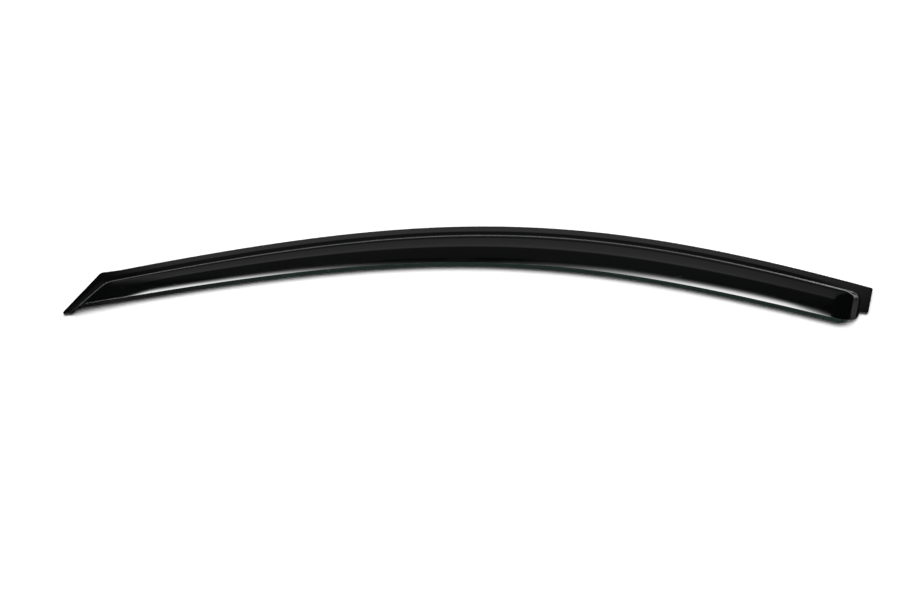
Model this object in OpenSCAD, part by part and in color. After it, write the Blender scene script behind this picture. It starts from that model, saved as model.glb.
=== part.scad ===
// Window rain deflector for a front door: one thermoformed smoked acrylic visor, taped on by its flange.
// It lies face up. X runs from the front (-) to the rear (+), Y points to the top edge, Z points up.
// s is the distance along the top edge from the front corner, v the distance in from the top edge.

/* [Top edge] */
// Length of the top edge along its curve, from the front corner to the rear corner
top_length = 972; // [850:5:1050]
// Slope of the straight front stretch of the top edge
front_angle = 17.8; // [12:0.1:24]
// Angle that the top edge turns through between its straight ends
bend_turn = 43.7; // [30:0.1:55]
// Distance along the top edge to the middle of the bend
bend_middle = 553; // [450:1:650]
// Length that sets how gently the bend starts and ends
bend_spread = 183; // [120:1:240]

/* [Sheet] */
// Thickness of the acrylic sheet
sheet = 3; // [2:0.1:3.6]

/* [Flange] */
// Width of the flat flange along the top edge, up to the foot of the step
flange_w = 14.5; // [12.5:0.1:18]
// Width of the flat flange down the front end, where it leaves the top flange
front_flange_w = 13.5; // [11:0.1:16]
// Width of the front flange at its tip
tip_flange_w = 6.2; // [5.6:0.1:8]
// Width of the land between the top edge and the drain groove
land_w = 10; // [8:0.1:12]
// Depth of the drain groove at the foot of the step
groove_depth = 0.45; // [0.2:0.05:0.6]
// Distance over which the drain groove runs out towards the rear end
groove_fade = 150; // [60:5:200]
// How far the flange flares out at the front corner
flare = 2; // [0:0.1:4]
// Length of the flare along the top edge
flare_length = 24; // [10:1:40]

/* [Step] */
// Height of the step from the flange to the crest
step_h = 6.5; // [5:0.1:9]
// Steepness of the step
step_angle = 42; // [34:0.5:50]
// Radius of the hollow at the foot of the step
foot_r = 2.5; // [2:0.1:4]
// Radius of the crest at the top of the step
crest_r = 4.5; // [4:0.1:6]
// Width over which the two sides of the step blend at the front corner
corner_blend = 5; // [2:0.5:10]

/* [Blade] */
// Width of the visor at its front end, from the top edge to the lower edge
front_depth = 56.5; // [52:0.5:62]
// Width of the visor a third of the way back
forward_depth = 68.5; // [62:0.5:74]
// Width of the visor two thirds of the way back
aft_depth = 77.5; // [69:0.5:82]
// Width of the visor at its rear end
rear_depth = 74; // [67:0.5:80]
// Slope of the crowned blade where it leaves the crest
crown_angle = 17; // [10:0.5:22]
// How far the lower edge lies below the crest
crown_drop = 2; // [0:0.1:3]
// Distance over which the crown fades out towards the front end
crown_fade = 60; // [40:1:100]
// Distance past the crest over which the front end flattens out
settle = 5; // [3:0.5:12]
// Width of the bevel cut along the lower edge
bevel_w = 4; // [2:0.1:5]
// Distance over which the bevel fades out towards the front tip
bevel_fade = 12; // [6:0.5:30]

/* [Front end] */
// Lean of the front edge away from square to the top edge
front_lean = 41.9; // [34:0.1:46]
// Distance over which the lean fades out along the blade
lean_fade = 170; // [120:1:240]
// Radius of the front tip
tip_r = 5; // [3:0.1:5.5]

/* [Rear end] */
// Lean of the rear edge away from square to the top edge
rear_lean = 0.6; // [0:0.1:5]
// Distance over which the rear lean fades out along the blade
rear_fade = 120; // [80:1:160]
// Width of the flange tab across the rear end
tab_w = 9.7; // [8.4:0.1:14]
// Length of the outer edge of the flange tab
tab_length = 42.8; // [38:0.1:46]
// Slant of the lower edge of the flange tab
tab_slant = 12; // [0:1:30]
// Gap between the flange tab and the foot of the wall that closes the rear end
wall_gap = 2; // [1:0.1:4]
// Steepness of the end wall
wall_angle = 38; // [30:0.5:46]
// Width over which the wall and the step blend at the rear corner
wall_blend = 12; // [3:0.5:14]
// Distance over which the crown fades out down to the foot of the end wall
wall_fade = 32; // [20:0.5:50]
// Distance over which the lower edge rises back to the foot of the end wall
drop_fade = 16; // [12:0.5:40]
// Width of the round at the lower rear corner
corner_r = 28; // [18:0.5:34]

/* [Tape] */
// Thickness of the foam tape
tape_t = 0.8; // [0.6:0.1:1.2]
// Thickness of the release liner
liner_t = 0.15; // [0.1:0.05:0.3]
// Width of the tape along the top edge
top_tape_w = 10; // [8:0.5:11]
// Width of the tape down the front end
front_tape_w = 4; // [3:0.1:4.4]
// Width of the tape on the rear tab
rear_tape_w = 7; // [5:0.1:8]
// Clearance between a tape and the edges of the flange
tape_inset = 1; // [0.5:0.1:1.2]
// Gap between two tapes
tape_gap = 1.5; // [0.5:0.1:4]

/* [Hidden] */

// Spacing of the columns along the visor, of the path's points, and the rows across the blade
column_pitch = 9.5;
path_pitch = 5;
blade_rows = 9;
tip_columns = 5;
corner_columns = 8;
// Half the span over which a slope is measured
probe = 0.2;

// The flange lies on the tape, and the tape on its liner
flange_z = tape_t + liner_t + sheet;

// Rises and runs of the step: hollow foot, straight ramp, round crest
foot_run = foot_r * sin(step_angle);
foot_rise = foot_r * (1 - cos(step_angle));
crest_run = crest_r * (sin(step_angle) - sin(crown_angle));
crest_rise = crest_r * (cos(crown_angle) - cos(step_angle));
ramp_rise = step_h - foot_rise - crest_rise;
ramp_end = foot_run + ramp_rise / tan(step_angle);
crest_d = flange_w + ramp_end + crest_run;

// Where the foot of the front step leaves the top flange, and how it slants towards the tip
foot_s = front_flange_w / cos(front_lean) - flange_w * tan(front_lean);
step_tan = tan(front_lean)
    + (front_flange_w - tip_flange_w) / (cos(front_lean) * (front_depth - flange_w));
step_lean = atan(step_tan);
// Run of the end wall over that of the step, and how far its foot and crest lie in from the rear edge
wall_ratio = tan(wall_angle) / tan(step_angle);
wall_b = tab_w + wall_gap;
wall_crest_b = wall_b + (crest_d - flange_w) / wall_ratio;

function smooth(x) = let (t = min(max(x, 0), 1)) t * t * (3 - 2 * t);
function blend_min(a, b, k) = let (h = max(k - abs(a - b), 0)) min(a, b) - h * h / (4 * k);

// Heading of the top edge, and its points from the front corner on
function heading(s) =
    let (t = min(max(s, 0), top_length))
    front_angle - bend_turn / (1 + exp((bend_middle - t) / bend_spread));
path_steps = ceil(top_length / path_pitch);
path_step = top_length / path_steps;
path = [for (i = 0, p = [0, 0]; i <= path_steps;
    p = p + path_step * along((i + 0.5) * path_step), i = i + 1) p];
function along(s) = [cos(heading(s)), sin(heading(s))];
function inward(s) = [sin(heading(s)), -cos(heading(s))];
function edge_point(s) =
    s <= 0 ? path[0] + s * along(0) :
    s >= top_length ? path[path_steps] + (s - top_length) * along(top_length) :
    let (k = min(floor(s / path_step), path_steps - 1))
    path[k] + (path[k + 1] - path[k]) * (s / path_step - k);
function plan(s, v) = edge_point(s) + v * inward(s);

// Distances in from the front edge and from the rear edge
function from_front(s, v) = s * cos(front_lean) + v * sin(front_lean);
function from_rear(s, v) = (top_length - s) * cos(rear_lean) + v * sin(rear_lean);

// Distances in over the front flange and the rear tab, on the scale of those from the top edge
function front_step(s, v) = flange_w + (s - foot_s) * cos(step_lean) + (v - flange_w) * sin(step_lean);
function rear_step(s, v) = flange_w + (from_rear(s, v) - wall_b) * wall_ratio;
function from_flange(s, v) = blend_min(v, front_step(s, v), corner_blend);
function from_rim(s, v) = blend_min(from_flange(s, v), rear_step(s, v), wall_blend);

// Width of the visor at s: a cubic through its widths at the ends and the two thirds
function depth(s) =
    let (q = 3 * s / top_length)
    front_depth * (1 - q) * (2 - q) * (3 - q) / 6 + forward_depth * q * (2 - q) * (3 - q) / 2
    - aft_depth * q * (1 - q) * (3 - q) / 2 + rear_depth * q * (1 - q) * (2 - q) / 6;

// Height over the flange at a distance d in from the rim
function settled(x) = x < settle ? x - x * x / (2 * settle) : settle / 2;
function step_height(d) =
    let (x = d - flange_w)
    x <= 0 ? 0 :
    x < foot_run ? foot_r - sqrt(foot_r * foot_r - x * x) :
    x < ramp_end ? foot_rise + (x - foot_run) * tan(step_angle) :
    x < ramp_end + crest_run ?
        let (c = crest_r * sin(step_angle) - x + ramp_end)
        foot_rise + ramp_rise + sqrt(crest_r * crest_r - c * c) - crest_r * cos(step_angle) :
    step_h + tan(crown_angle) * settled(x - ramp_end - crest_run);

// Crown of the blade: an arc that leaves the crest at crown_angle, and the drop of the lower edge below it
function past_crest(v) = max(v - crest_d, 0);
function blade_w(s) = max(depth(s) - crest_d, settle);
function crown(s, v) =
    let (x = past_crest(v))
    tan(crown_angle) * (x - settled(x) - x * x / blade_w(s));
function drop(s, v) = crown_drop * smooth(past_crest(v) / blade_w(s));

function height(s, v) =
    let (front = smooth((front_step(s, v) - crest_d) / crown_fade), b = from_rear(s, v) - wall_b)
    step_height(from_rim(s, v))
    + front * (crown(s, v) * smooth(b / wall_fade) - drop(s, v) * smooth(b / drop_fade));

// The drain groove is cut in the outer face only
function groove(s, v) =
    let (d = from_flange(s, v), low = flange_w + foot_run / 2, end = flange_w + ramp_end,
         shown = smooth((from_rear(s, v) - wall_b) / groove_fade))
    d <= land_w || d >= end ? 0 :
    groove_depth * shown * min((d - land_w) / (low - land_w), (end - d) / (end - low));

function mid_point(s, v) = [each plan(s, v), flange_z + height(s, v)];
function outer_point(s, v) = mid_point(s, v) - [0, 0, groove(s, v)];
function inner_point(s, v) =
    let (a = mid_point(s + probe, v) - mid_point(s - probe, v),
         b = mid_point(s, v + probe) - mid_point(s, v - probe),
         n = cross(b, a))
    mid_point(s, v) - sheet * n / norm(n);

// Columns run across the visor. u is where a column meets the top edge, lean(u) how it slants:
// along the front edge first, then along the front step, and square to the top edge further back.
foot_u = foot_s + flange_w * step_tan;
function lean(u) =
    u < foot_u ? -tan(front_lean) - (step_tan - tan(front_lean)) * u / foot_u :
    -step_tan * (1 - smooth((u - column_start) / lean_fade))
    + tan(rear_lean) * smooth((u - top_length + 2 * rear_fade) / rear_fade);
function column_s(u, v) = u + lean(u) * v;
front_levels = [flange_w, flange_w + foot_run / 2, flange_w + foot_run, flange_w + ramp_end,
    crest_d - 2 * crest_run / 3, crest_d - crest_run / 3, crest_d, crest_d + settle / 3,
    crest_d + 2 * settle / 3, crest_d + settle];
front_us = [for (d = front_levels) foot_u + (d - flange_w) / cos(step_lean)];
column_start = front_us[len(front_us) - 1];
tip_us = [for (i = [0 : tip_columns]) foot_u * tip_r / tip_flange_w * (1 - cos(90 * i / tip_columns))];
corner_bs = [for (i = [corner_columns : -1 : 0]) tab_w + corner_r * (1 - cos(90 * i / corner_columns))];
wall_levels = [crest_d, crest_d - crest_run / 3, crest_d - 2 * crest_run / 3, flange_w + ramp_end,
    flange_w + (foot_run + ramp_end) / 2, flange_w + foot_run, flange_w + foot_run / 2, flange_w];
rear_bs = [max(tab_w + corner_r, wall_crest_b) + corner_r / corner_columns,
    for (b = corner_bs) if (b > wall_crest_b + 1) b,
    for (d = wall_levels) wall_b + (d - flange_w) / wall_ratio,
    tab_w + wall_gap / 4, tab_w, tab_w / 2, 0];
rear_us = [for (b = rear_bs) top_length - b / cos(rear_lean)];
long_count = ceil((rear_us[0] - column_start) / column_pitch);
long_us = [for (i = [1 : long_count - 1]) column_start + (rear_us[0] - column_start) * i / long_count];
columns = [each tip_us, each front_us, each long_us, each rear_us];

// Where a column starts and ends: the flared top edge, and the lower edge with its rounds and tab
function column_top(u) = -flare * max(1 - max(u, 0) / flare_length, 0);
function tip_gap(u) = from_front(column_s(u, front_depth), front_depth);
function column_end(u) =
    let (a = tip_gap(u), b = (top_length - u) * cos(rear_lean),
         full = depth(column_s(u, depth(u))), tab_end = tab_length + tan(tab_slant) * min(b, tab_w))
    a < tip_r ? full - tip_r + sqrt(max(tip_r * tip_r - pow(tip_r - a, 2), 0)) :
    b > tab_w + corner_r ? full :
    tab_end + (full - tab_end) * sqrt(max(1 - pow(1 - max(b - tab_w, 0) / corner_r, 2), 0));
function bevel(u) =
    bevel_w * smooth((tip_gap(u) - tip_flange_w) / bevel_fade)
    * smooth(((top_length - u) * cos(rear_lean) - tab_w) / corner_r);

// Rows run along the visor: the top edge, the levels of the step, and the blade
row_levels = [land_w, each [for (i = [0 : 6]) front_levels[i]], crest_d + settle / 2];
function row_vs(u, end) =
    let (last = row_levels[len(row_levels) - 1])
    [column_top(u), each row_levels, for (i = [1 : blade_rows]) last + (end - last) * i / blade_rows];
rows = len(row_levels) + blade_rows + 1;

outer_grid = [for (u = columns) for (v = row_vs(u, column_end(u) - bevel(u))) outer_point(column_s(u, v), v)];
inner_grid = [for (u = columns) for (v = row_vs(u, column_end(u))) inner_point(column_s(u, v), v)];

// The part is centred on its own box
outer_x = [for (p = outer_grid) p[0]];
outer_y = [for (p = outer_grid) p[1]];
inner_y = [for (p = inner_grid) p[1]];
centre = [
    (min(outer_x) + max(outer_x)) / 2,
    (min(min(outer_y), min(inner_y)) + max(outer_y)) / 2,
    0
];

// A closed sheet between two grids of points, each held column by column
module grid_sheet(outer, inner, column_count, row_count) {
    under = column_count * row_count;
    function at(i, j) = i * row_count + j;
    function split(a, b, c, d) = [[a, b, c], [a, c, d]];
    faces = [
        for (i = [0 : column_count - 2], j = [0 : row_count - 2])
            each split(at(i, j), at(i + 1, j), at(i + 1, j + 1), at(i, j + 1)),
        for (i = [0 : column_count - 2], j = [0 : row_count - 2])
            each split(under + at(i, j), under + at(i, j + 1),
                under + at(i + 1, j + 1), under + at(i + 1, j)),
        for (i = [0 : column_count - 2])
            each split(at(i + 1, 0), at(i, 0), under + at(i, 0), under + at(i + 1, 0)),
        for (i = [0 : column_count - 2])
            each split(at(i, row_count - 1), at(i + 1, row_count - 1),
                under + at(i + 1, row_count - 1), under + at(i, row_count - 1)),
        for (j = [0 : row_count - 2])
            each split(at(0, j), at(0, j + 1), under + at(0, j + 1), under + at(0, j)),
        for (j = [0 : row_count - 2])
            each split(at(column_count - 1, j + 1), at(column_count - 1, j),
                under + at(column_count - 1, j), under + at(column_count - 1, j + 1))
    ];
    polyhedron(points = [each outer, each inner], faces = faces, convexity = 6);
}

// Outlines of the three tapes, each set in from the edges of the flange
top_tape_end = tape_inset + top_tape_w;
module top_strip() {
    ends = [tape_inset / cos(front_lean), top_length - tape_inset];
    count = ceil((ends[1] - ends[0]) / column_pitch);
    stations = [for (i = [0 : count]) ends[0] + (ends[1] - ends[0]) * i / count];
    polygon([
        for (s = stations) plan(s, tape_inset),
        for (i = [count : -1 : 0]) plan(stations[i], top_tape_end)
    ]);
}
module front_strip() {
    function at(a, v) = plan((a - v * sin(front_lean)) / cos(front_lean), v);
    first = top_tape_end + tape_gap;
    last = front_depth - tip_r - tape_inset;
    polygon([
        at(tape_inset, first), at(tape_inset + front_tape_w, first),
        at(tape_inset + front_tape_w, last), at(tape_inset, last)
    ]);
}
module rear_strip() {
    function at(b, v) = plan(top_length - (b - v * sin(rear_lean)) / cos(rear_lean), v);
    first = top_tape_end + tape_gap;
    last = tab_length - tape_inset;
    polygon([
        at(tape_inset + rear_tape_w, first), at(tape_inset, first),
        at(tape_inset, last), at(tape_inset + rear_tape_w, last)
    ]);
}

module tape_layer() {
    color("#3b3b3d") translate([0, 0, liner_t] - centre) linear_extrude(tape_t) children();
}
module liner_layer() {
    color("#b5302a") translate(-centre) linear_extrude(liner_t) children();
}

module visor() {
    color("#17191b") translate(-centre) grid_sheet(outer_grid, inner_grid, len(columns), rows);
}
module top_tape() { tape_layer() top_strip(); }
module front_tape() { tape_layer() front_strip(); }
module rear_tape() { tape_layer() rear_strip(); }
module top_liner() { liner_layer() top_strip(); }
module front_liner() { liner_layer() front_strip(); }
module rear_liner() { liner_layer() rear_strip(); }

visor();
top_tape();
front_tape();
rear_tape();
top_liner();
front_liner();
rear_liner();
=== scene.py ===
import math
import bpy
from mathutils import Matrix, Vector


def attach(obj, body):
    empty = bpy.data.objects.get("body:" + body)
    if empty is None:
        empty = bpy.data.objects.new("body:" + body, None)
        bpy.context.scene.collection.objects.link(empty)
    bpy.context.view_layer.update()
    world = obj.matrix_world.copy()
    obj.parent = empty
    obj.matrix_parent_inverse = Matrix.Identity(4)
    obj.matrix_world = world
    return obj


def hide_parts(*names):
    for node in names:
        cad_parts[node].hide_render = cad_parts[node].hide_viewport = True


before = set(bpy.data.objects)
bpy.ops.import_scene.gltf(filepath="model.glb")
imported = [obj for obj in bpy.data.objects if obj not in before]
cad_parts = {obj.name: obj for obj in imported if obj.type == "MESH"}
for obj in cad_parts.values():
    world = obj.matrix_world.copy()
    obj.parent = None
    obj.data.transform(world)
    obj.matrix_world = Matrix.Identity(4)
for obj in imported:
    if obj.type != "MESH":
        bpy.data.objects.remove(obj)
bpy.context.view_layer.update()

mm = 0.001


# Small helpers

def linearFromHex(hexText):
    # sRGB hex to the linear values that shaders work in, fully solid
    shares = [int(hexText[i:i + 2], 16) / 255 for i in (1, 3, 5)]
    return [c / 12.92 if c <= 0.04045 else ((c + 0.055) / 1.055) ** 2.4 for c in shares] + [1.0]


def perSize(millimetres):
    # texture scale whose pattern repeats about every so many millimetres
    return 1 / (millimetres * mm)


def addNode(tree, kind, settings=None, values=None, links=None):
    node = tree.nodes.new(kind)
    for name, value in (settings or {}).items():
        setattr(node, name, value)
    for name, value in (values or {}).items():
        node.inputs[name].default_value = value
    for name, socket in (links or {}).items():
        tree.links.new(socket, node.inputs[name])
    return node


# A Mix node keeps its sockets by number: the two colours in and the one out, then the same for plain numbers.
colourA, colourB, colourOut = 6, 7, 2
numberA, numberB, numberOut = 2, 3, 0


def newMaterial(name):
    material = bpy.data.materials.new(name)
    material.use_nodes = True
    material.node_tree.nodes.clear()
    return material, material.node_tree


def smoothStep(x):
    t = min(max(x, 0), 1)
    return t * t * (3 - 2 * t)


# Camera, where the photograph was taken from
# The plan coordinates of the visor start at its front corner; this is the middle of its box in them, in mm.
planCentre = Vector((458.96, 1.12, 0))

cameraValues = {
    "place": (444.603, -922.123, 999.20),   # mm, above and in front of the visor, in its plan coordinates
    "downward": 48.8785,                    # degrees under the horizon
    "lens": 43.043, "frameWidth": 36,       # mm
}

cameraData = bpy.data.cameras.new("studioCamera")
cameraData.sensor_width = cameraValues["frameWidth"]
cameraData.lens = cameraValues["lens"]
cameraObject = bpy.data.objects.new("studioCamera", cameraData)
cameraObject.location = (Vector(cameraValues["place"]) - planCentre) * mm
cameraObject.rotation_euler = (math.radians(90 - cameraValues["downward"]), 0, 0)
bpy.context.scene.collection.objects.link(cameraObject)
bpy.context.scene.camera = cameraObject
bpy.context.scene.view_settings.view_transform = "Standard"
print("camera set")


# Visor: one thermoformed acrylic sheet
# Lengths are in millimetres and angles in degrees, as in the solid.
# s runs along the top edge from the front corner, v runs in from the top edge.
visor = {
    # the top edge, which starts at its front angle and bends by a turn about its middle
    "topLength": 972, "frontAngle": 17.8, "bendTurn": 43.7, "bendMiddle": 553, "bendSpread": 183,
    # the flange, 0.01 lower than in the solid, so that the finer crown stays inside the solid's box
    "sheet": 3, "flangeZ": 3.94, "flangeW": 14.5, "frontFlangeW": 13.5, "tipFlangeW": 6.2,
    "flangeCorner": 2.2,                # rounding of its corners, seen from above
    "flare": 2, "flareLength": 24,      # where it widens at the front corner
    # the drain groove, from the flat land of the flange to the top of the step
    "landW": 10, "grooveDepth": 0.45, "grooveFade": 150,
    # the step up to the blade, with its hollow foot and round crest
    "stepH": 6.5, "stepAngle": 42, "footR": 2.5, "crestR": 4.5, "cornerBlend": 5, "settle": 5,
    # the blade: the visor's width at four even places, and the crown's arc and drop
    "depths": (56.5, 68.5, 77.5, 74), "crownAngle": 17, "crownDrop": 2, "crownFade": 60,
    "bevelW": 4, "bevelFade": 12,       # wide bevel along its lower edge
    # the slanted front end and its tip
    "frontLean": 41.9, "leanFade": 170, "tipR": 5,
    # the rear end: the flange tab, the closed wall and the rounded lower corner
    "rearLean": 0.6, "rearFade": 120, "tabW": 9.7, "tabLength": 42.8, "tabSlant": 12,
    "wallGap": 2, "wallAngle": 38, "wallBlend": 12, "wallFade": 32, "dropFade": 16, "cornerR": 28,
    # the cut edge: width of its eased corner, and where along the top edge its painted teal glow, light
    # through the sheet painted into its colour, fades in from black
    "arris": 0.35, "paintedGlowStart": 60, "paintedGlowFull": 260,
    # the mesh: how far apart its points are, or how many there are
    "pathPitch": 1, "columnPitch": 2.4, "frontPitch": 1.2, "rampPitch": 0.8,
    "bladeRows": 30, "landRows": 5, "arcSteps": 5, "tipColumns": 12, "cornerColumns": 22, "arrisSteps": 3,
    "slopeProbe": 0.2,                  # half the span that a slope is measured over
    "cornerLead": 2,                    # a column this far in front of the rear corner
    "crestGap": 0.8, "footGap": 0.3, "tabGap": 0.4,     # room between the columns of the corner and the wall
    "flatWeight": 60,                   # how strongly the large faces lead the shading
}


def sinDeg(angle):
    return math.sin(math.radians(angle))


def cosDeg(angle):
    return math.cos(math.radians(angle))


def tanDeg(angle):
    return math.tan(math.radians(angle))


# where the foot of the front step leaves the top flange, and how it slants towards the tip
leanTan = tanDeg(visor["frontLean"])
footS = visor["frontFlangeW"] / cosDeg(visor["frontLean"]) - visor["flangeW"] * leanTan
stepTan = leanTan + (visor["frontFlangeW"] - visor["tipFlangeW"]) / (
    cosDeg(visor["frontLean"]) * (visor["depths"][0] - visor["flangeW"]))
stepLean = math.degrees(math.atan(stepTan))
footU = footS + visor["flangeW"] * stepTan
wallRatio = tanDeg(visor["wallAngle"]) / tanDeg(visor["stepAngle"])
wallB = visor["tabW"] + visor["wallGap"]   # foot of the end wall, from the rear edge
footRun = visor["footR"] * sinDeg(visor["stepAngle"])
footRise = visor["footR"] * (1 - cosDeg(visor["stepAngle"]))
crestRun = visor["crestR"] * (sinDeg(visor["stepAngle"]) - sinDeg(visor["crownAngle"]))
crestRise = visor["crestR"] * (cosDeg(visor["crownAngle"]) - cosDeg(visor["stepAngle"]))
rampRise = visor["stepH"] - footRise - crestRise
rampEnd = footRun + rampRise / tanDeg(visor["stepAngle"])
crestD = visor["flangeW"] + rampEnd + crestRun


def heading(s):
    # direction of the top edge, in degrees
    t = min(max(s, 0), visor["topLength"])
    easing = 1 + math.exp((visor["bendMiddle"] - t) / visor["bendSpread"])
    return visor["frontAngle"] - visor["bendTurn"] / easing


pathSteps = math.ceil(visor["topLength"] / visor["pathPitch"])
pathStep = visor["topLength"] / pathSteps
path = [(0.0, 0.0)]
for i in range(pathSteps):
    turn = heading((i + 0.5) * pathStep)
    path.append((path[-1][0] + pathStep * cosDeg(turn), path[-1][1] + pathStep * sinDeg(turn)))


def planPoint(s, v):
    k = min(max(math.floor(s / pathStep), 0), pathSteps - 1)
    share = s / pathStep - k
    x, y = (path[k][axis] + (path[k + 1][axis] - path[k][axis]) * share for axis in (0, 1))
    return x + v * sinDeg(heading(s)), y - v * cosDeg(heading(s))


def fromFront(s, v):
    # distance in from the front edge
    return s * cosDeg(visor["frontLean"]) + v * sinDeg(visor["frontLean"])


def fromRear(s, v):
    # distance in from the rear edge
    return (visor["topLength"] - s) * cosDeg(visor["rearLean"]) + v * sinDeg(visor["rearLean"])


def blendMin(a, b, width):
    # the smaller of the two, rounded where they cross
    h = max(width - abs(a - b), 0)
    return min(a, b) - h * h / (4 * width)


def frontStep(s, v):
    # distance in over the front flange, which narrows towards the tip
    return visor["flangeW"] + (s - footS) * cosDeg(stepLean) + (v - visor["flangeW"]) * sinDeg(stepLean)


def rearStep(s, v):
    # the same at the rear, stretched because the end wall is less steep than the step
    return visor["flangeW"] + (fromRear(s, v) - wallB) * wallRatio


def fromRim(s, v):
    # distance in over the flange, whichever end or edge is nearest
    return blendMin(blendMin(v, frontStep(s, v), visor["cornerBlend"]), rearStep(s, v), visor["wallBlend"])


def depthAt(s):
    # width of the visor at s, a cubic through its four stated widths
    q = 3 * s / visor["topLength"]
    front, forward, aft, rear = visor["depths"]
    return (front * (1 - q) * (2 - q) * (3 - q) / 6 + forward * q * (2 - q) * (3 - q) / 2
            - aft * q * (1 - q) * (3 - q) / 2 + rear * q * (1 - q) * (2 - q) / 6)


def settled(x):
    # how far x rises at a slope that starts at one and dies away over the settling length
    return x - x * x / (2 * visor["settle"]) if x < visor["settle"] else visor["settle"] / 2


def stepHeight(d):
    # hollow foot, straight ramp, round crest, then the settling slope of the front end
    x = d - visor["flangeW"]
    if x <= 0:
        return 0
    if x < footRun:
        return visor["footR"] - math.sqrt(visor["footR"] ** 2 - x * x)
    if x < rampEnd:
        return footRise + (x - footRun) * tanDeg(visor["stepAngle"])
    if x < rampEnd + crestRun:
        c = visor["crestR"] * sinDeg(visor["stepAngle"]) - x + rampEnd
        return footRise + rampRise + math.sqrt(visor["crestR"] ** 2 - c * c) - visor["crestR"] * cosDeg(
            visor["stepAngle"])
    return visor["stepH"] + tanDeg(visor["crownAngle"]) * settled(x - rampEnd - crestRun)


def crown(s, v):
    # the arc over the crest, and the drop of the lower edge below it; both fade out at the two ends
    x = max(v - crestD, 0)
    width = max(depthAt(s) - crestD, visor["settle"])
    behind = fromRear(s, v) - wallB
    rise = tanDeg(visor["crownAngle"]) * (x - settled(x) - x * x / width)
    drop = visor["crownDrop"] * smoothStep(x / width)
    front = smoothStep((frontStep(s, v) - crestD) / visor["crownFade"])
    rise *= smoothStep(behind / visor["wallFade"])
    drop *= smoothStep(behind / visor["dropFade"])
    return front * (rise - drop)


def heightAt(s, v):
    return stepHeight(fromRim(s, v)) + crown(s, v)


def groove(s, v):
    # depth of the drain groove, cut in the upper face only
    d = blendMin(v, frontStep(s, v), visor["cornerBlend"])
    low = visor["flangeW"] + footRun / 2
    end = visor["flangeW"] + rampEnd
    if d <= visor["landW"] or d >= end:
        return 0
    depth = min((d - visor["landW"]) / (low - visor["landW"]), (end - d) / (end - low))
    return visor["grooveDepth"] * depth * smoothStep((fromRear(s, v) - wallB) / visor["grooveFade"])


def facePoint(s, v):
    # on the upper face, without the groove
    x, y = planPoint(s, v)
    return Vector((x, y, visor["flangeZ"] + heightAt(s, v)))


def faceNormal(s, v):
    probe = visor["slopeProbe"]
    along = facePoint(s + probe, v) - facePoint(s - probe, v)
    across = facePoint(s, v + probe) - facePoint(s, v - probe)
    return across.cross(along).normalized()


def outerPoint(s, v):
    return facePoint(s, v) - Vector((0, 0, groove(s, v)))


def innerPoint(s, v):
    return facePoint(s, v) - visor["sheet"] * faceNormal(s, v)


# Columns run across the visor and slant with its ends; u is where one meets the top edge.
# The grid stops one arris short of every cut edge, and the eased corner is added outside it.
arris = visor["arris"]


def spread(low, high, pitch):
    # the points between low and high, both left out, no further apart than pitch
    count = math.ceil((high - low) / pitch)
    return [low + (high - low) * i / count for i in range(1, count)]


def quarter(count, radius):
    # even steps round a quarter circle, as distances from its start
    return [radius * (1 - cosDeg(90 * i / count)) for i in range(count + 1)]


# distances in over the flange, up the foot, the ramp and the crest, and on to where the slope has settled
rimLevels = ([visor["flangeW"] + footRun * i / visor["arcSteps"] for i in range(visor["arcSteps"] + 1)]
             + spread(visor["flangeW"] + footRun, visor["flangeW"] + rampEnd, visor["rampPitch"])
             + [crestD - crestRun + crestRun * i / visor["arcSteps"] for i in range(visor["arcSteps"] + 1)]
             + [crestD + visor["settle"] * i / visor["arcSteps"] for i in range(1, visor["arcSteps"] + 1)])
# columns of the front step and of its tip, then those of the rear end, by their distance from its edge
frontUs = [footU + (d - visor["flangeW"]) / cosDeg(stepLean) for d in rimLevels]
columnStart = frontUs[-1]
firstU = arris / cosDeg(visor["frontLean"])
# how fast the columns part from the front edge at the tip
tipShare = visor["tipFlangeW"] / (footU - firstU)
tipUs = [firstU + d / tipShare for d in quarter(visor["tipColumns"], visor["tipR"] - arris)]
wallBs = [wallB + (d - visor["flangeW"]) / wallRatio for d in rimLevels[:-visor["arcSteps"]]]
cornerBs = [visor["tabW"] + arris + d for d in quarter(visor["cornerColumns"], visor["cornerR"] - arris)]
tabB = visor["tabW"] - visor["tabGap"]
rearBs = ([arris + d for d in quarter(visor["arcSteps"], visor["flangeCorner"] - arris)]
          + spread(visor["flangeCorner"], tabB, visor["columnPitch"])
          + [tabB]
          + [b for b in cornerBs if b < wallBs[0] - visor["footGap"]]
          + wallBs
          + [b for b in cornerBs if b > wallBs[-1] + visor["crestGap"]]
          + [visor["tabW"] + visor["cornerR"] + visor["cornerLead"]])
rearUs = [visor["topLength"] - b / cosDeg(visor["rearLean"]) for b in rearBs[::-1]]
columns = (tipUs + spread(tipUs[-1], frontUs[0], visor["frontPitch"]) + frontUs
           + spread(columnStart, rearUs[0], visor["columnPitch"]) + rearUs)


def lean(u):
    # along the front edge first, then along the front step, and square to the top edge further back
    if u < footU:
        return -leanTan - (stepTan - leanTan) * (u - firstU) / (footU - firstU)
    front = smoothStep((u - columnStart) / visor["leanFade"])
    rear = smoothStep((u - visor["topLength"] + 2 * visor["rearFade"]) / visor["rearFade"])
    return -stepTan * (1 - front) + tanDeg(visor["rearLean"]) * rear


def tipGap(u):
    # how far the lower end of a column lies in from the front edge
    return fromFront(u + lean(u) * visor["depths"][0], visor["depths"][0])


def roundOff(distance, radius):
    # how far a corner's rounding pulls an edge back at this distance from the other edge
    inside = max(radius - distance, 0)
    return radius - math.sqrt(max(radius * radius - inside * inside, 0))


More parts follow.
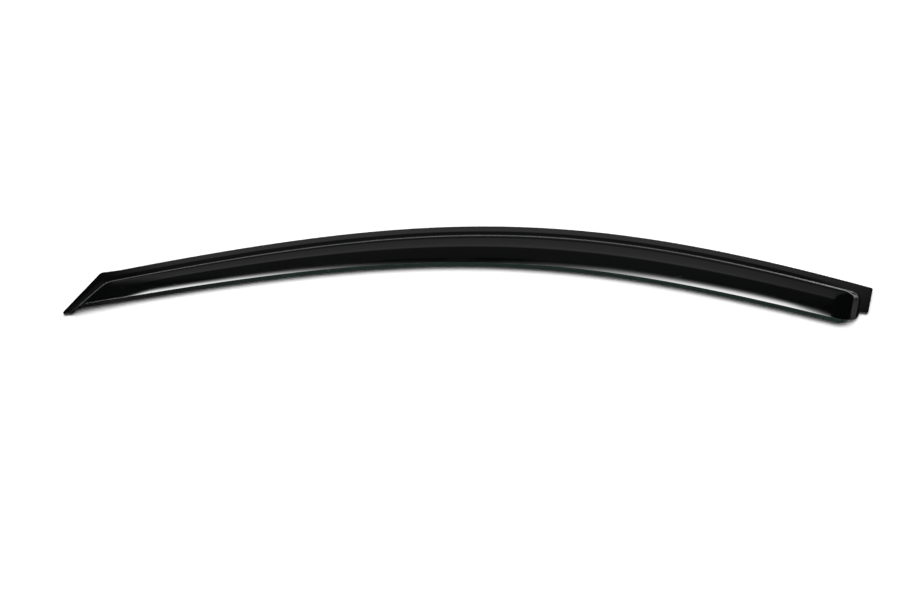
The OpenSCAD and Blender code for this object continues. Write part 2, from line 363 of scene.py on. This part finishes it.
def columnEnds(u):
    # where a column starts and ends, as v
    a = u * cosDeg(visor["frontLean"])
    b = (visor["topLength"] - u) * cosDeg(visor["rearLean"])
    corner = visor["flangeCorner"] - arris
    top = arris - visor["flare"] * max(1 - max(u, 0) / visor["flareLength"], 0)
    top += roundOff(a - arris, corner) + roundOff(b - arris, corner)
    full = depthAt(u + lean(u) * depthAt(u))   # read where the slanted column ends
    tabEnd = visor["tabLength"] + tanDeg(visor["tabSlant"]) * min(b, visor["tabW"])
    tabEnd -= roundOff(b - arris, corner)
    if tipGap(u) < visor["tipR"]:
        return top, full - arris - roundOff(tipGap(u) - arris, visor["tipR"] - arris)
    if b > visor["tabW"] + visor["cornerR"]:
        return top, full - arris
    share = max(b - visor["tabW"] - arris, 0) / (visor["cornerR"] - arris)
    return top, tabEnd - arris + (full - tabEnd) * math.sqrt(max(1 - (1 - share) ** 2, 0))


def bevelAt(u):
    # width of the wide bevel, which runs out at both ends
    b = (visor["topLength"] - u) * cosDeg(visor["rearLean"])
    front = smoothStep((tipGap(u) - visor["tipFlangeW"]) / visor["bevelFade"])
    return visor["bevelW"] * front * smoothStep((b - visor["tabW"]) / visor["cornerR"])


def rowsAt(top, end):
    # the rows of one column: over the land, the step and the blade
    last = rimLevels[-1]
    land = [top + (visor["landW"] - top) * i / visor["landRows"] for i in range(visor["landRows"] + 1)]
    return (land + [(visor["landW"] + visor["flangeW"]) / 2] + rimLevels
            + [last + (end - last) * i / visor["bladeRows"] for i in range(1, visor["bladeRows"] + 1)])


outerGrid, innerGrid, paintedGlowShare = [], [], []
for u in columns:
    top, end = columnEnds(u)
    slant = lean(u)
    # painted glow: light through the sheet, painted teal on the bevel, fades in from the front end
    paintedGlowFade = smoothStep((u - visor["paintedGlowStart"]) / (visor["paintedGlowFull"] - visor["paintedGlowStart"]))
    paintedGlowShare.append(paintedGlowFade * bevelAt(u) / visor["bevelW"])
    outerGrid.append([outerPoint(u + slant * v, v) for v in rowsAt(top, end - bevelAt(u))])
    innerGrid.append([innerPoint(u + slant * v, v) for v in rowsAt(top, end)])
columnCount, rowCount = len(columns), len(outerGrid[0])
print("visor grid", columnCount, "by", rowCount)


# Visor mesh: the two faces of the sheet, joined round its cut edge

def borderOrder():
    # grid places once round the rim of the sheet
    lastColumn, lastRow = columnCount - 1, rowCount - 1
    return ([(i, 0) for i in range(columnCount)]
            + [(lastColumn, j) for j in range(1, rowCount)]
            + [(i, lastRow) for i in range(lastColumn - 1, -1, -1)]
            + [(0, j) for j in range(lastRow - 1, 0, -1)])


def trueEdge(grid, border):
    # the sharp rim, one arris outside the grid's own border and in line with its face
    rim = []
    for k, (i, j) in enumerate(border):
        here = grid[i][j]
        before, after = border[k - 1], border[(k + 1) % len(border)]
        tangent = (grid[after[0]][after[1]] - grid[before[0]][before[1]]).normalized()
        inside = grid[min(max(i, 1), columnCount - 2)][min(max(j, 1), rowCount - 2)] - here
        outward = tangent * inside.dot(tangent) - inside
        rim.append(here + arris * outward.normalized())
    return rim


def easedRings(grid, border, rim, otherRim):
    # rings that turn from the face into the cut edge
    rings = []
    for step in range(1, visor["arrisSteps"] + 1):
        t = step / visor["arrisSteps"]
        ring = []
        for k, (i, j) in enumerate(border):
            down = rim[k] + arris * (otherRim[k] - rim[k]).normalized()
            ring.append((1 - t) ** 2 * grid[i][j] + 2 * t * (1 - t) * rim[k] + t * t * down)
        rings.append(ring)
    return rings


border = borderOrder()
outerRim, innerRim = trueEdge(outerGrid, border), trueEdge(innerGrid, border)
outerRings = easedRings(outerGrid, border, outerRim, innerRim)
innerRings = easedRings(innerGrid, border, innerRim, outerRim)

gridSize = columnCount * rowCount
points = [p for column in outerGrid for p in column] + [p for column in innerGrid for p in column]
rimBands = [[i * rowCount + j for i, j in border]]
for ring in outerRings + innerRings[::-1]:
    rimBands.append(list(range(len(points), len(points) + len(ring))))
    points += ring
rimBands.append([gridSize + i * rowCount + j for i, j in border])

sheetFaces = []
for i in range(columnCount - 1):
    for j in range(rowCount - 1):
        a, b = i * rowCount + j, (i + 1) * rowCount + j
        sheetFaces.append((a, a + 1, b + 1, b))
        sheetFaces.append((gridSize + a, gridSize + b, gridSize + b + 1, gridSize + a + 1))
rimFaces = []
for upper, lower in zip(rimBands, rimBands[1:]):
    for k in range(len(border)):
        after = (k + 1) % len(border)
        rimFaces.append((upper[k], upper[after], lower[after], lower[k]))

visorMesh = bpy.data.meshes.new("visorSheet")
visorMesh.from_pydata([(p - planCentre) * mm for p in points], [], sheetFaces + rimFaces)
visorMesh.polygons.foreach_set("use_smooth", [True] * len(visorMesh.polygons))
visorMesh.polygons.foreach_set("material_index", [0] * len(sheetFaces) + [1] * len(rimFaces))
visorMesh.validate()

# how much of the painted teal glow, light through the sheet painted into the colour, each point of the cut
# edge gets: only the wide bevel has it
paintedEdgeGlow = visorMesh.attributes.new("paintedEdgeGlow", "FLOAT", "POINT")
for band in rimBands:
    for k, (i, j) in enumerate(border):
        paintedEdgeGlow.data[band[k]].value = paintedGlowShare[i] if j == rowCount - 1 else 0

visorPiece = bpy.data.objects.new("smokedVisor", visorMesh)
bpy.context.scene.collection.objects.link(visorPiece)
weighted = visorPiece.modifiers.new("faceWeighting", "WEIGHTED_NORMAL")   # flat faces stay flat in shading
weighted.weight = visor["flatWeight"]
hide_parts("visor")
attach(visorPiece, "root")
print("visor mesh", len(visorMesh.polygons), "faces")


# Smoked acrylic, cast sheet and thermoformed
# Dark smoke sheet: nearly black, with a hard gloss that mirrors the studio. Thermoforming leaves
# a slight long wave in the reflections; handling leaves hair scratches and a little dust.
acrylicLook = {
    "smoke": "#030404", "smokeThin": "#070808", "ior": 1.49,
    # colour and roughness drift in soft clouds: mm across, their detail, and the span that counts
    "roughness": (0.035, 0.075), "cloudSize": 60, "cloudDetail": 3, "cloudRange": (0.35, 0.65),
    "waveSize": 38, "waveHeight": 0.035, "waveDetail": 1,       # long wave from forming: mm apart, mm high
    "peelSize": 4.5, "peelHeight": 0.0012, "peelDetail": 2,     # orange peel: mm apart, mm high
    # hair scratches, drawn coarser than real ones: directions in degrees, gap and length in mm,
    # then how ragged they are, how much of the noise becomes a scratch, and what one adds to the roughness
    "scratchAngles": (14, -31, 63), "scratchGap": 2.2, "scratchLength": 55,
    "scratchDetail": 4, "scratchGrain": 0.7, "scratchKept": (0.66, 0.74), "scratchRough": 0.16,
    # dust: mm apart, a speck as a share of that, its solid core as a share of the speck, how much it shows
    "dustSize": 9, "dustSpeck": 0.04, "dustCore": 0.6, "dust": "#6d6f6e", "dustShow": 0.15,
}


def makeAcrylic(look):
    material, tree = newMaterial("smokedAcrylicThermoformed")
    place = addNode(tree, "ShaderNodeTexCoord").outputs["Object"]
    cloud = addNode(tree, "ShaderNodeTexNoise", links={"Vector": place},
                    values={"Scale": perSize(look["cloudSize"]), "Detail": look["cloudDetail"]})
    wave = addNode(tree, "ShaderNodeTexNoise", links={"Vector": place},
                   values={"Scale": perSize(look["waveSize"]), "Detail": look["waveDetail"]})
    peel = addNode(tree, "ShaderNodeTexNoise", links={"Vector": place},
                   values={"Scale": perSize(look["peelSize"]), "Detail": look["peelDetail"]})
    scratches = []
    along, across = perSize(look["scratchLength"]), perSize(look["scratchGap"])
    for angle in look["scratchAngles"]:
        turned = addNode(tree, "ShaderNodeMapping", links={"Vector": place},
                         values={"Rotation": (0, 0, math.radians(angle)), "Scale": (along, across, along)})
        streak = addNode(tree, "ShaderNodeTexNoise", links={"Vector": turned.outputs["Vector"]},
                         values={"Scale": 1, "Detail": look["scratchDetail"],
                                 "Roughness": look["scratchGrain"]})
        kept = addNode(tree, "ShaderNodeMapRange", links={"Value": streak.outputs["Fac"]},
                       values={"From Min": look["scratchKept"][0], "From Max": look["scratchKept"][1]})
        scratches.append(kept.outputs["Result"])
    firstTwo = addNode(tree, "ShaderNodeMath", {"operation": "MAXIMUM"},
                       links={0: scratches[0], 1: scratches[1]})
    scratch = addNode(tree, "ShaderNodeMath", {"operation": "MAXIMUM"},
                      links={0: firstTwo.outputs["Value"], 1: scratches[2]}).outputs["Value"]
    speck = addNode(tree, "ShaderNodeTexVoronoi", values={"Scale": perSize(look["dustSize"])},
                    links={"Vector": place})
    dust = addNode(tree, "ShaderNodeMapRange",
                   values={"From Min": look["dustSpeck"], "From Max": look["dustSpeck"] * look["dustCore"],
                           "To Max": look["dustShow"]},
                   links={"Value": speck.outputs["Distance"]}).outputs["Result"]
    smoke = addNode(tree, "ShaderNodeMix", {"data_type": "RGBA"}, links={"Factor": cloud.outputs["Fac"]},
                    values={colourA: linearFromHex(look["smoke"]), colourB: linearFromHex(look["smokeThin"])})
    dusty = addNode(tree, "ShaderNodeMix", {"data_type": "RGBA"},
                    values={colourB: linearFromHex(look["dust"])},
                    links={"Factor": dust, colourA: smoke.outputs[colourOut]})
    gloss = addNode(tree, "ShaderNodeMapRange", links={"Value": cloud.outputs["Fac"]},
                    values={"From Min": look["cloudRange"][0], "From Max": look["cloudRange"][1],
                            "To Min": look["roughness"][0], "To Max": look["roughness"][1]})
    rough = addNode(tree, "ShaderNodeMath", {"operation": "MULTIPLY_ADD"}, values={1: look["scratchRough"]},
                    links={0: scratch, 2: gloss.outputs["Result"]})
    rough = addNode(tree, "ShaderNodeMath", {"operation": "ADD", "use_clamp": True},
                    links={0: rough.outputs["Value"], 1: dust})
    longWave = addNode(tree, "ShaderNodeBump", values={"Strength": 1, "Distance": look["waveHeight"] * mm},
                       links={"Height": wave.outputs["Fac"]})
    finish = addNode(tree, "ShaderNodeBump", values={"Strength": 1, "Distance": look["peelHeight"] * mm},
                     links={"Height": peel.outputs["Fac"], "Normal": longWave.outputs["Normal"]})
    surface = addNode(tree, "ShaderNodeBsdfPrincipled", values={"IOR": look["ior"]},
                      links={"Base Color": dusty.outputs[colourOut], "Roughness": rough.outputs["Value"],
                             "Normal": finish.outputs["Normal"]})
    addNode(tree, "ShaderNodeOutputMaterial", links={"Surface": surface.outputs["BSDF"]})
    return material


# The same acrylic where it is cut: routed, bevelled and flame polished
# Light that passes through the sheet gathers in the cut edge; here it is painted into the colour, so the wide
# bevel shows a painted deep teal glow on an opaque surface. Fine cutter marks soften its gloss.
edgeLook = {
    # teal and tealLight are painted glow, the light that leaves the sheet at the bevel; plainEdge is the
    # edge's own near black
    "plainEdge": "#050606", "teal": "#13211e", "tealLight": "#1e302a", "ior": 1.49,
    # the painted teal glow and the roughness drift in patches: mm across, their detail, and the span that
    # counts
    "roughness": (0.12, 0.3), "patchSize": 24, "patchDetail": 3, "patchRange": (0.3, 0.7),
    "markPitch": 1.4, "markHeight": 0.006, "markDetail": 2,     # mm, drawn coarser than real cutter marks
}


def makeCutEdge(look):
    material, tree = newMaterial("smokedAcrylicRoutedEdge")
    place = addNode(tree, "ShaderNodeTexCoord").outputs["Object"]
    patch = addNode(tree, "ShaderNodeTexNoise", links={"Vector": place},
                    values={"Scale": perSize(look["patchSize"]), "Detail": look["patchDetail"]})
    marks = addNode(tree, "ShaderNodeTexNoise", links={"Vector": place},
                    values={"Scale": perSize(look["markPitch"]), "Detail": look["markDetail"]})
    # reads each point's share of the painted glow, and mixes the painted teal glow into the black edge by it
    bevel = addNode(tree, "ShaderNodeAttribute", {"attribute_name": "paintedEdgeGlow"})
    teal = addNode(tree, "ShaderNodeMix", {"data_type": "RGBA"}, links={"Factor": patch.outputs["Fac"]},
                   values={colourA: linearFromHex(look["teal"]), colourB: linearFromHex(look["tealLight"])})
    paintedGlowColour = addNode(tree, "ShaderNodeMix", {"data_type": "RGBA"},
                   values={colourA: linearFromHex(look["plainEdge"])},
                   links={"Factor": bevel.outputs["Fac"], colourB: teal.outputs[colourOut]})
    gloss = addNode(tree, "ShaderNodeMapRange", links={"Value": patch.outputs["Fac"]},
                    values={"From Min": look["patchRange"][0], "From Max": look["patchRange"][1],
                            "To Min": look["roughness"][0], "To Max": look["roughness"][1]})
    finish = addNode(tree, "ShaderNodeBump", values={"Strength": 1, "Distance": look["markHeight"] * mm},
                     links={"Height": marks.outputs["Fac"]})
    surface = addNode(tree, "ShaderNodeBsdfPrincipled", values={"IOR": look["ior"]},
                      links={"Base Color": paintedGlowColour.outputs[colourOut], "Roughness": gloss.outputs["Result"],
                             "Normal": finish.outputs["Normal"]})
    addNode(tree, "ShaderNodeOutputMaterial", links={"Surface": surface.outputs["BSDF"]})
    return material


visorMesh.materials.append(makeAcrylic(acrylicLook))
visorMesh.materials.append(makeCutEdge(edgeLook))
print("visor materials done")


# Tapes: closed-cell polyethylene foam, slit to width
# Matt charcoal foam, with small cut cells that make its edges look grainy.
foamLook = {
    "foam": "#2c2c2e", "foamLight": "#3b3b3d", "ior": 1.5, "roughness": (0.8, 0.95),
    "cellSize": 0.9, "cellDepth": 0.08,         # cut cells in mm, drawn twice their real size
    "mottleSize": 12, "mottleDetail": 4,        # colour mottling, mm
}


def makeFoam(look):
    material, tree = newMaterial("polyethyleneFoamSlit")
    place = addNode(tree, "ShaderNodeTexCoord").outputs["Object"]
    cells = addNode(tree, "ShaderNodeTexVoronoi", values={"Scale": perSize(look["cellSize"])},
                    links={"Vector": place})
    mottle = addNode(tree, "ShaderNodeTexNoise", links={"Vector": place},
                     values={"Scale": perSize(look["mottleSize"]), "Detail": look["mottleDetail"]})
    colour = addNode(tree, "ShaderNodeMix", {"data_type": "RGBA"}, links={"Factor": mottle.outputs["Fac"]},
                     values={colourA: linearFromHex(look["foam"]), colourB: linearFromHex(look["foamLight"])})
    matt = addNode(tree, "ShaderNodeMapRange",
                   values={"To Min": look["roughness"][0], "To Max": look["roughness"][1]},
                   links={"Value": cells.outputs["Distance"]})
    pores = addNode(tree, "ShaderNodeBump", values={"Strength": 1, "Distance": look["cellDepth"] * mm},
                    links={"Height": cells.outputs["Distance"]})
    surface = addNode(tree, "ShaderNodeBsdfPrincipled", values={"IOR": look["ior"]},
                      links={"Base Color": colour.outputs[colourOut], "Roughness": matt.outputs["Result"],
                             "Normal": pores.outputs["Normal"]})
    addNode(tree, "ShaderNodeOutputMaterial", links={"Surface": surface.outputs["BSDF"]})
    return material


# Liners: red polyethylene release film, embossed
# Bright red film with a satin sheen, a fine emboss and the odd crease from handling. The red is deeper in the
# crease hollows and brighter on their ridges: painted shade and light.
linerLook = {
    "red": "#b32c27", "redPaintedCreaseShade": "#9c231f", "ior": 1.51, "roughness": (0.28, 0.45),
    "embossSize": 1.2, "embossDepth": 0.02,                         # mm
    "creaseSize": 18, "creaseDepth": 0.12, "creaseDetail": 3,       # mm
}


def makeLiner(look):
    material, tree = newMaterial("polyethyleneFilmEmbossed")
    place = addNode(tree, "ShaderNodeTexCoord").outputs["Object"]
    emboss = addNode(tree, "ShaderNodeTexVoronoi", {"feature": "SMOOTH_F1"},
                     values={"Scale": perSize(look["embossSize"])}, links={"Vector": place})
    crease = addNode(tree, "ShaderNodeTexNoise", links={"Vector": place},
                     values={"Scale": perSize(look["creaseSize"]), "Detail": look["creaseDetail"]})
    # painted shade: the red follows the same noise as the crease bump, deeper in the hollows and brighter on
    # the ridges
    colour = addNode(tree, "ShaderNodeMix", {"data_type": "RGBA"}, links={"Factor": crease.outputs["Fac"]},
                     values={colourA: linearFromHex(look["redPaintedCreaseShade"]), colourB: linearFromHex(look["red"])})
    satin = addNode(tree, "ShaderNodeMapRange",
                    values={"To Min": look["roughness"][0], "To Max": look["roughness"][1]},
                    links={"Value": crease.outputs["Fac"]})
    creased = addNode(tree, "ShaderNodeBump", values={"Strength": 1, "Distance": look["creaseDepth"] * mm},
                      links={"Height": crease.outputs["Fac"]})
    finish = addNode(tree, "ShaderNodeBump", values={"Strength": 1, "Distance": look["embossDepth"] * mm},
                     links={"Height": emboss.outputs["Distance"], "Normal": creased.outputs["Normal"]})
    surface = addNode(tree, "ShaderNodeBsdfPrincipled", values={"IOR": look["ior"]},
                      links={"Base Color": colour.outputs[colourOut], "Roughness": satin.outputs["Result"],
                             "Normal": finish.outputs["Normal"]})
    addNode(tree, "ShaderNodeOutputMaterial", links={"Surface": surface.outputs["BSDF"]})
    return material


def dressNode(name, material):
    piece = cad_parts[name]
    if not piece.material_slots:
        piece.data.materials.append(material)
    for slot in piece.material_slots:
        slot.material = material


foam, liner = makeFoam(foamLook), makeLiner(linerLook)
for place in ("top", "front", "rear"):
    dressNode(place + "_tape", foam)
    dressNode(place + "_liner", liner)
print("tapes and liners dressed")


# Studio: a pale table, a broad soft light, two soft boxes that show as highlights, and pale screens around
studio = {
    "floorRadius": 20, "floor": "#e6e6e6", "floorDrop": 0.0001,   # m
    "floorSeen": "#c8c8c8",             # added to its colour where it is looked at, so that it reads white
    "liftNear": 0.9, "liftFar": 2.0,    # m from the middle, where the table turns to plain white
    "lightSize": 5.2, "lightHeight": 3.2, "lightPower": 140,   # m, m, W
    # soft boxes: m over the table, brightness, and how many soft widths are kept beyond each falloff
    "boxHeight": 3.0, "boxStrength": 24, "boxMargin": 5,
    # falloff centres and widths in metres, measured on the height of the boxes
    "leftBox": {"outer": -1.30, "outerSoft": 0.05, "inner": -0.475, "innerSoft": 0.085},
    "rightBox": {"outer": 0.895, "outerSoft": 0.03, "inner": 0.375, "innerSoft": 0.072},
    "boxBack": 0.765, "boxBackSoft": 0.062, "boxFront": 0.08, "boxFrontSoft": 0.03,
    # brightness of a screen by height over distance, from the table up to the ceiling overhead
    "screens": ((0, 1.0), (0.16, 1.0), (0.24, 0.2), (0.30, 0.08), (0.36, 0.08), (0.43, 0.26), (0.6, 0.33),
                (0.8, 0.42), (0.9, 0.46), (1.0, 0.58), (1.06, 0.58), (1.15, 0.10), (4, 0.09)),
    # the same between the screens, where the room is dark over a pale skirting
    "gaps": ((0, 0.5), (0.2, 0.5), (0.3, 0.18), (0.42, 0.03), (4, 0.03)),
    "screenTurn": 3.25,                 # degrees that the screens are turned from the table's axes
    "screenEdge": (0.456, 0.566),       # where a screen ends, as width over distance
    "windowStart": (0.2, 0.52),         # where a low window starts at the back right, as width over distance
    "windowEnd": (0.6, 0.95),           # and where it ends
    "windowGlow": 4.5, "windowShade": 0.5,   # brightness over the skirting, and of the screen over it
    "pastWindow": 0.35,                 # brightness of the skirting past the window
    "frontShade": 0.6,                  # brightness of the screen in front, which stands further off
    "roomSide": 90, "backdrop": "#ffffff",   # m to each wall of the room; the white behind everything
}


def makeFloor(look):
    material, tree = newMaterial("tableLaminateMatt")
    place = addNode(tree, "ShaderNodeTexCoord").outputs["Object"]
    away = addNode(tree, "ShaderNodeVectorMath", {"operation": "LENGTH"}, links={0: place})
    far = addNode(tree, "ShaderNodeMapRange", {"interpolation_type": "SMOOTHSTEP"},
                  values={"From Min": look["liftNear"], "From Max": look["liftFar"]},
                  links={"Value": away.outputs["Value"]}).outputs["Result"]
    pale = addNode(tree, "ShaderNodeBsdfDiffuse", values={"Color": linearFromHex(look["floor"])})
    lift = addNode(tree, "ShaderNodeBsdfDiffuse", values={"Color": linearFromHex(look["floorSeen"])})
    lifted = addNode(tree, "ShaderNodeAddShader", links={0: pale.outputs["BSDF"], 1: lift.outputs["BSDF"]})
    white = addNode(tree, "ShaderNodeEmission", values={"Strength": 1})
    shown = addNode(tree, "ShaderNodeMixShader",
                    links={"Fac": far, 1: lifted.outputs["Shader"], 2: white.outputs["Emission"]})
    ray = addNode(tree, "ShaderNodeLightPath")
    seen = addNode(tree, "ShaderNodeMath", {"operation": "MAXIMUM"},
                   links={0: ray.outputs["Is Camera Ray"], 1: ray.outputs["Is Glossy Ray"]})
    seen = addNode(tree, "ShaderNodeMath", {"operation": "MAXIMUM"},
                   links={0: seen.outputs["Value"], 1: ray.outputs["Is Transmission Ray"]})
    surface = addNode(tree, "ShaderNodeMixShader",
                      links={"Fac": seen.outputs["Value"], 1: pale.outputs["BSDF"],
                             2: shown.outputs["Shader"]})
    addNode(tree, "ShaderNodeOutputMaterial", links={"Surface": surface.outputs["Shader"]})
    return material


def stagePlane(name, low, high, height, material):
    mesh = bpy.data.meshes.new(name)
    mesh.from_pydata([(low[0], low[1], height), (high[0], low[1], height),
                      (high[0], high[1], height), (low[0], high[1], height)], [], [(0, 1, 2, 3)])
    mesh.materials.append(material)
    plane = bpy.data.objects.new(name, mesh)
    bpy.context.scene.collection.objects.link(plane)
    return plane


def softEdge(tree, value, middle, width, falling):
    # runs from 0 to 1, or back down, across a soft edge at middle
    slope = (-1 if falling else 1) / (2 * width)
    shifted = addNode(tree, "ShaderNodeMath", {"operation": "MULTIPLY_ADD"}, links={0: value},
                      values={1: slope, 2: -middle * slope})
    curve = addNode(tree, "ShaderNodeMath", {"operation": "TANH"}, links={0: shifted.outputs["Value"]})
    return addNode(tree, "ShaderNodeMath", {"operation": "MULTIPLY_ADD"}, values={1: 0.5, 2: 0.5},
                   links={0: curve.outputs["Value"]}).outputs["Value"]


def makeSoftBox(name, sides):
    # a lit cloth whose four edges fade out, mirrored by the visor but not seen itself
    material, tree = newMaterial(name + "Cloth")
    place = addNode(tree, "ShaderNodeTexCoord").outputs["Object"]
    axes = addNode(tree, "ShaderNodeSeparateXYZ", links={"Vector": place})
    leftHand = sides["outer"] < sides["inner"]
    glow = softEdge(tree, axes.outputs["X"], sides["inner"], sides["innerSoft"], leftHand)
    for value, middle, width, falling in (
            (axes.outputs["X"], sides["outer"], sides["outerSoft"], not leftHand),
            (axes.outputs["Y"], studio["boxBack"], studio["boxBackSoft"], True),
            (axes.outputs["Y"], studio["boxFront"], studio["boxFrontSoft"], False)):
        glow = addNode(tree, "ShaderNodeMath", {"operation": "MULTIPLY"},
                       links={0: glow, 1: softEdge(tree, value, middle, width, falling)}).outputs["Value"]
    strength = addNode(tree, "ShaderNodeMath", {"operation": "MULTIPLY"}, values={1: studio["boxStrength"]},
                       links={0: glow})
    light = addNode(tree, "ShaderNodeEmission", links={"Strength": strength.outputs["Value"]})
    addNode(tree, "ShaderNodeOutputMaterial", links={"Surface": light.outputs["Emission"]})
    margin = studio["boxMargin"]
    low = (min(sides["outer"] - margin * sides["outerSoft"], sides["inner"] - margin * sides["innerSoft"]),
           studio["boxFront"] - margin * studio["boxFrontSoft"])
    high = (max(sides["outer"] + margin * sides["outerSoft"], sides["inner"] + margin * sides["innerSoft"]),
            studio["boxBack"] + margin * studio["boxBackSoft"])
    panel = stagePlane(name, low, high, studio["boxHeight"], material)
    panel.visible_camera = False
    panel.visible_diffuse = False


reach = studio["floorRadius"]
stagePlane("studioTable", (-reach, -reach), (reach, reach), -studio["floorDrop"], makeFloor(studio))
makeSoftBox("leftSoftBox", studio["leftBox"])
makeSoftBox("rightSoftBox", studio["rightBox"])

broadLight = bpy.data.lights.new("broadSoftLight", "AREA")
broadLight.shape = "SQUARE"
broadLight.size = studio["lightSize"]
broadLight.energy = studio["lightPower"]
broadLight.specular_factor = 0
lightObject = bpy.data.objects.new("broadSoftLight", broadLight)
lightObject.location = (0, 0, studio["lightHeight"])
lightObject.visible_glossy = False
bpy.context.scene.collection.objects.link(lightObject)


def brightnessByHeight(tree, rise, levels):
    # a ramp over height, which comes with its first and last stop
    heights, brightness = zip(*levels)
    top = heights[-1]
    share = addNode(tree, "ShaderNodeMath", {"operation": "DIVIDE", "use_clamp": True}, values={1: top},
                    links={0: rise})
    ramp = addNode(tree, "ShaderNodeValToRGB", links={"Fac": share.outputs["Value"]})
    stops = ramp.color_ramp.elements
    for height in heights[1:-1]:
        stops.new(height / top)
    for stop, level in zip(stops, brightness):
        stop.color = (level, level, level, 1)
    return ramp.outputs["Color"]


def makeRoomWalls(look):
    # brightness by direction: four turned screens with gaps between them, and a low window at the back
    material, tree = newMaterial("studioScreenPaper")
    direction = addNode(tree, "ShaderNodeTexCoord").outputs["Object"]
    turned = addNode(tree, "ShaderNodeVectorRotate", {"rotation_type": "Z_AXIS"},
                     values={"Angle": math.radians(look["screenTurn"])}, links={"Vector": direction})
    axes = addNode(tree, "ShaderNodeSeparateXYZ", links={"Vector": turned.outputs["Vector"]})
    sides = []
    for name in ("X", "Y"):
        side = addNode(tree, "ShaderNodeMath", {"operation": "ABSOLUTE"}, links={0: axes.outputs[name]})
        sides.append(side.outputs["Value"])
    ahead = addNode(tree, "ShaderNodeMath", {"operation": "MAXIMUM"}, links={0: sides[0], 1: sides[1]})
    aside = addNode(tree, "ShaderNodeMath", {"operation": "MINIMUM"}, links={0: sides[0], 1: sides[1]})
    rise = addNode(tree, "ShaderNodeMath", {"operation": "DIVIDE"},
                   links={0: axes.outputs["Z"], 1: ahead.outputs["Value"]})
    width = addNode(tree, "ShaderNodeMath", {"operation": "DIVIDE"},
                    links={0: aside.outputs["Value"], 1: ahead.outputs["Value"]})
    gap = addNode(tree, "ShaderNodeMapRange", {"interpolation_type": "SMOOTHSTEP"},
                  values={"From Min": look["screenEdge"][0], "From Max": look["screenEdge"][1]},
                  links={"Value": width.outputs["Value"]})
    room = addNode(tree, "ShaderNodeMix", {"data_type": "RGBA"},
                   links={"Factor": gap.outputs["Result"],
                          colourA: brightnessByHeight(tree, rise.outputs["Value"], look["screens"]),
                          colourB: brightnessByHeight(tree, rise.outputs["Value"], look["gaps"])})
    low = addNode(tree, "ShaderNodeMapRange", {"interpolation_type": "SMOOTHSTEP"},
                  values={"From Min": look["screens"][1][0], "From Max": look["screens"][2][0], "To Min": 1,
                          "To Max": 0},
                  links={"Value": rise.outputs["Value"]}).outputs["Result"]
    sideways = addNode(tree, "ShaderNodeMath", {"operation": "DIVIDE"},
                       links={0: axes.outputs["X"], 1: sides[1]})
    window = addNode(tree, "ShaderNodeMapRange", {"interpolation_type": "SMOOTHSTEP"},
                     values={"From Min": look["windowStart"][0], "From Max": look["windowStart"][1]},
                     links={"Value": sideways.outputs["Value"]}).outputs["Result"]
    glow = addNode(tree, "ShaderNodeMapRange", values={"To Min": 1, "To Max": 1 + look["windowGlow"]},
                   links={"Value": window})
    # past its end the skirting is dark
    past = addNode(tree, "ShaderNodeMapRange", {"interpolation_type": "SMOOTHSTEP"},
                   values={"From Min": look["windowEnd"][0], "From Max": look["windowEnd"][1], "To Min": 1,
                           "To Max": look["pastWindow"] / (1 + look["windowGlow"])},
                   links={"Value": sideways.outputs["Value"]})
    skirting = addNode(tree, "ShaderNodeMath", {"operation": "MULTIPLY"},
                       links={0: glow.outputs["Result"], 1: past.outputs["Result"]})
    shade = addNode(tree, "ShaderNodeMapRange", values={"To Min": 1, "To Max": look["windowShade"]},
                    links={"Value": window})
    back = addNode(tree, "ShaderNodeMix", {"data_type": "FLOAT"},
                   links={0: low, numberA: shade.outputs["Result"], numberB: skirting.outputs["Value"]})
    front = addNode(tree, "ShaderNodeMapRange", values={"To Min": look["frontShade"], "To Max": 1},
                    links={"Value": low})
    behind = addNode(tree, "ShaderNodeMath", {"operation": "GREATER_THAN"}, values={1: 0},
                     links={0: axes.outputs["Y"]})
    level = addNode(tree, "ShaderNodeMix", {"data_type": "FLOAT"},
                    links={0: behind.outputs["Value"], numberA: front.outputs["Result"],
                           numberB: back.outputs[numberOut]})
    light = addNode(tree, "ShaderNodeEmission",
                    links={"Color": room.outputs[colourOut], "Strength": level.outputs[numberOut]})
    addNode(tree, "ShaderNodeOutputMaterial", links={"Surface": light.outputs["Emission"]})
    return material


def makeRoom(look):
    # what the visor mirrors around it, far off and unseen itself; behind it everything is plain white
    side = look["roomSide"]
    mesh = bpy.data.meshes.new("studioRoom")
    mesh.from_pydata([(x * side, y * side, z * side) for x in (-1, 1) for y in (-1, 1) for z in (-1, 1)], [],
                     [(0, 1, 3, 2), (4, 6, 7, 5), (0, 4, 5, 1), (2, 3, 7, 6), (0, 2, 6, 4), (1, 5, 7, 3)])
    mesh.materials.append(makeRoomWalls(look))
    room = bpy.data.objects.new("studioRoom", mesh)
    bpy.context.scene.collection.objects.link(room)
    room.visible_camera = False
    world = bpy.data.worlds.new("studioBackdrop")
    world.use_nodes = True
    world.node_tree.nodes.clear()
    tree = world.node_tree
    white = addNode(tree, "ShaderNodeBackground", values={"Color": linearFromHex(look["backdrop"])})
    addNode(tree, "ShaderNodeOutputWorld", links={"Surface": white.outputs["Background"]})
    bpy.context.scene.world = world


makeRoom(studio)
print("studio set")
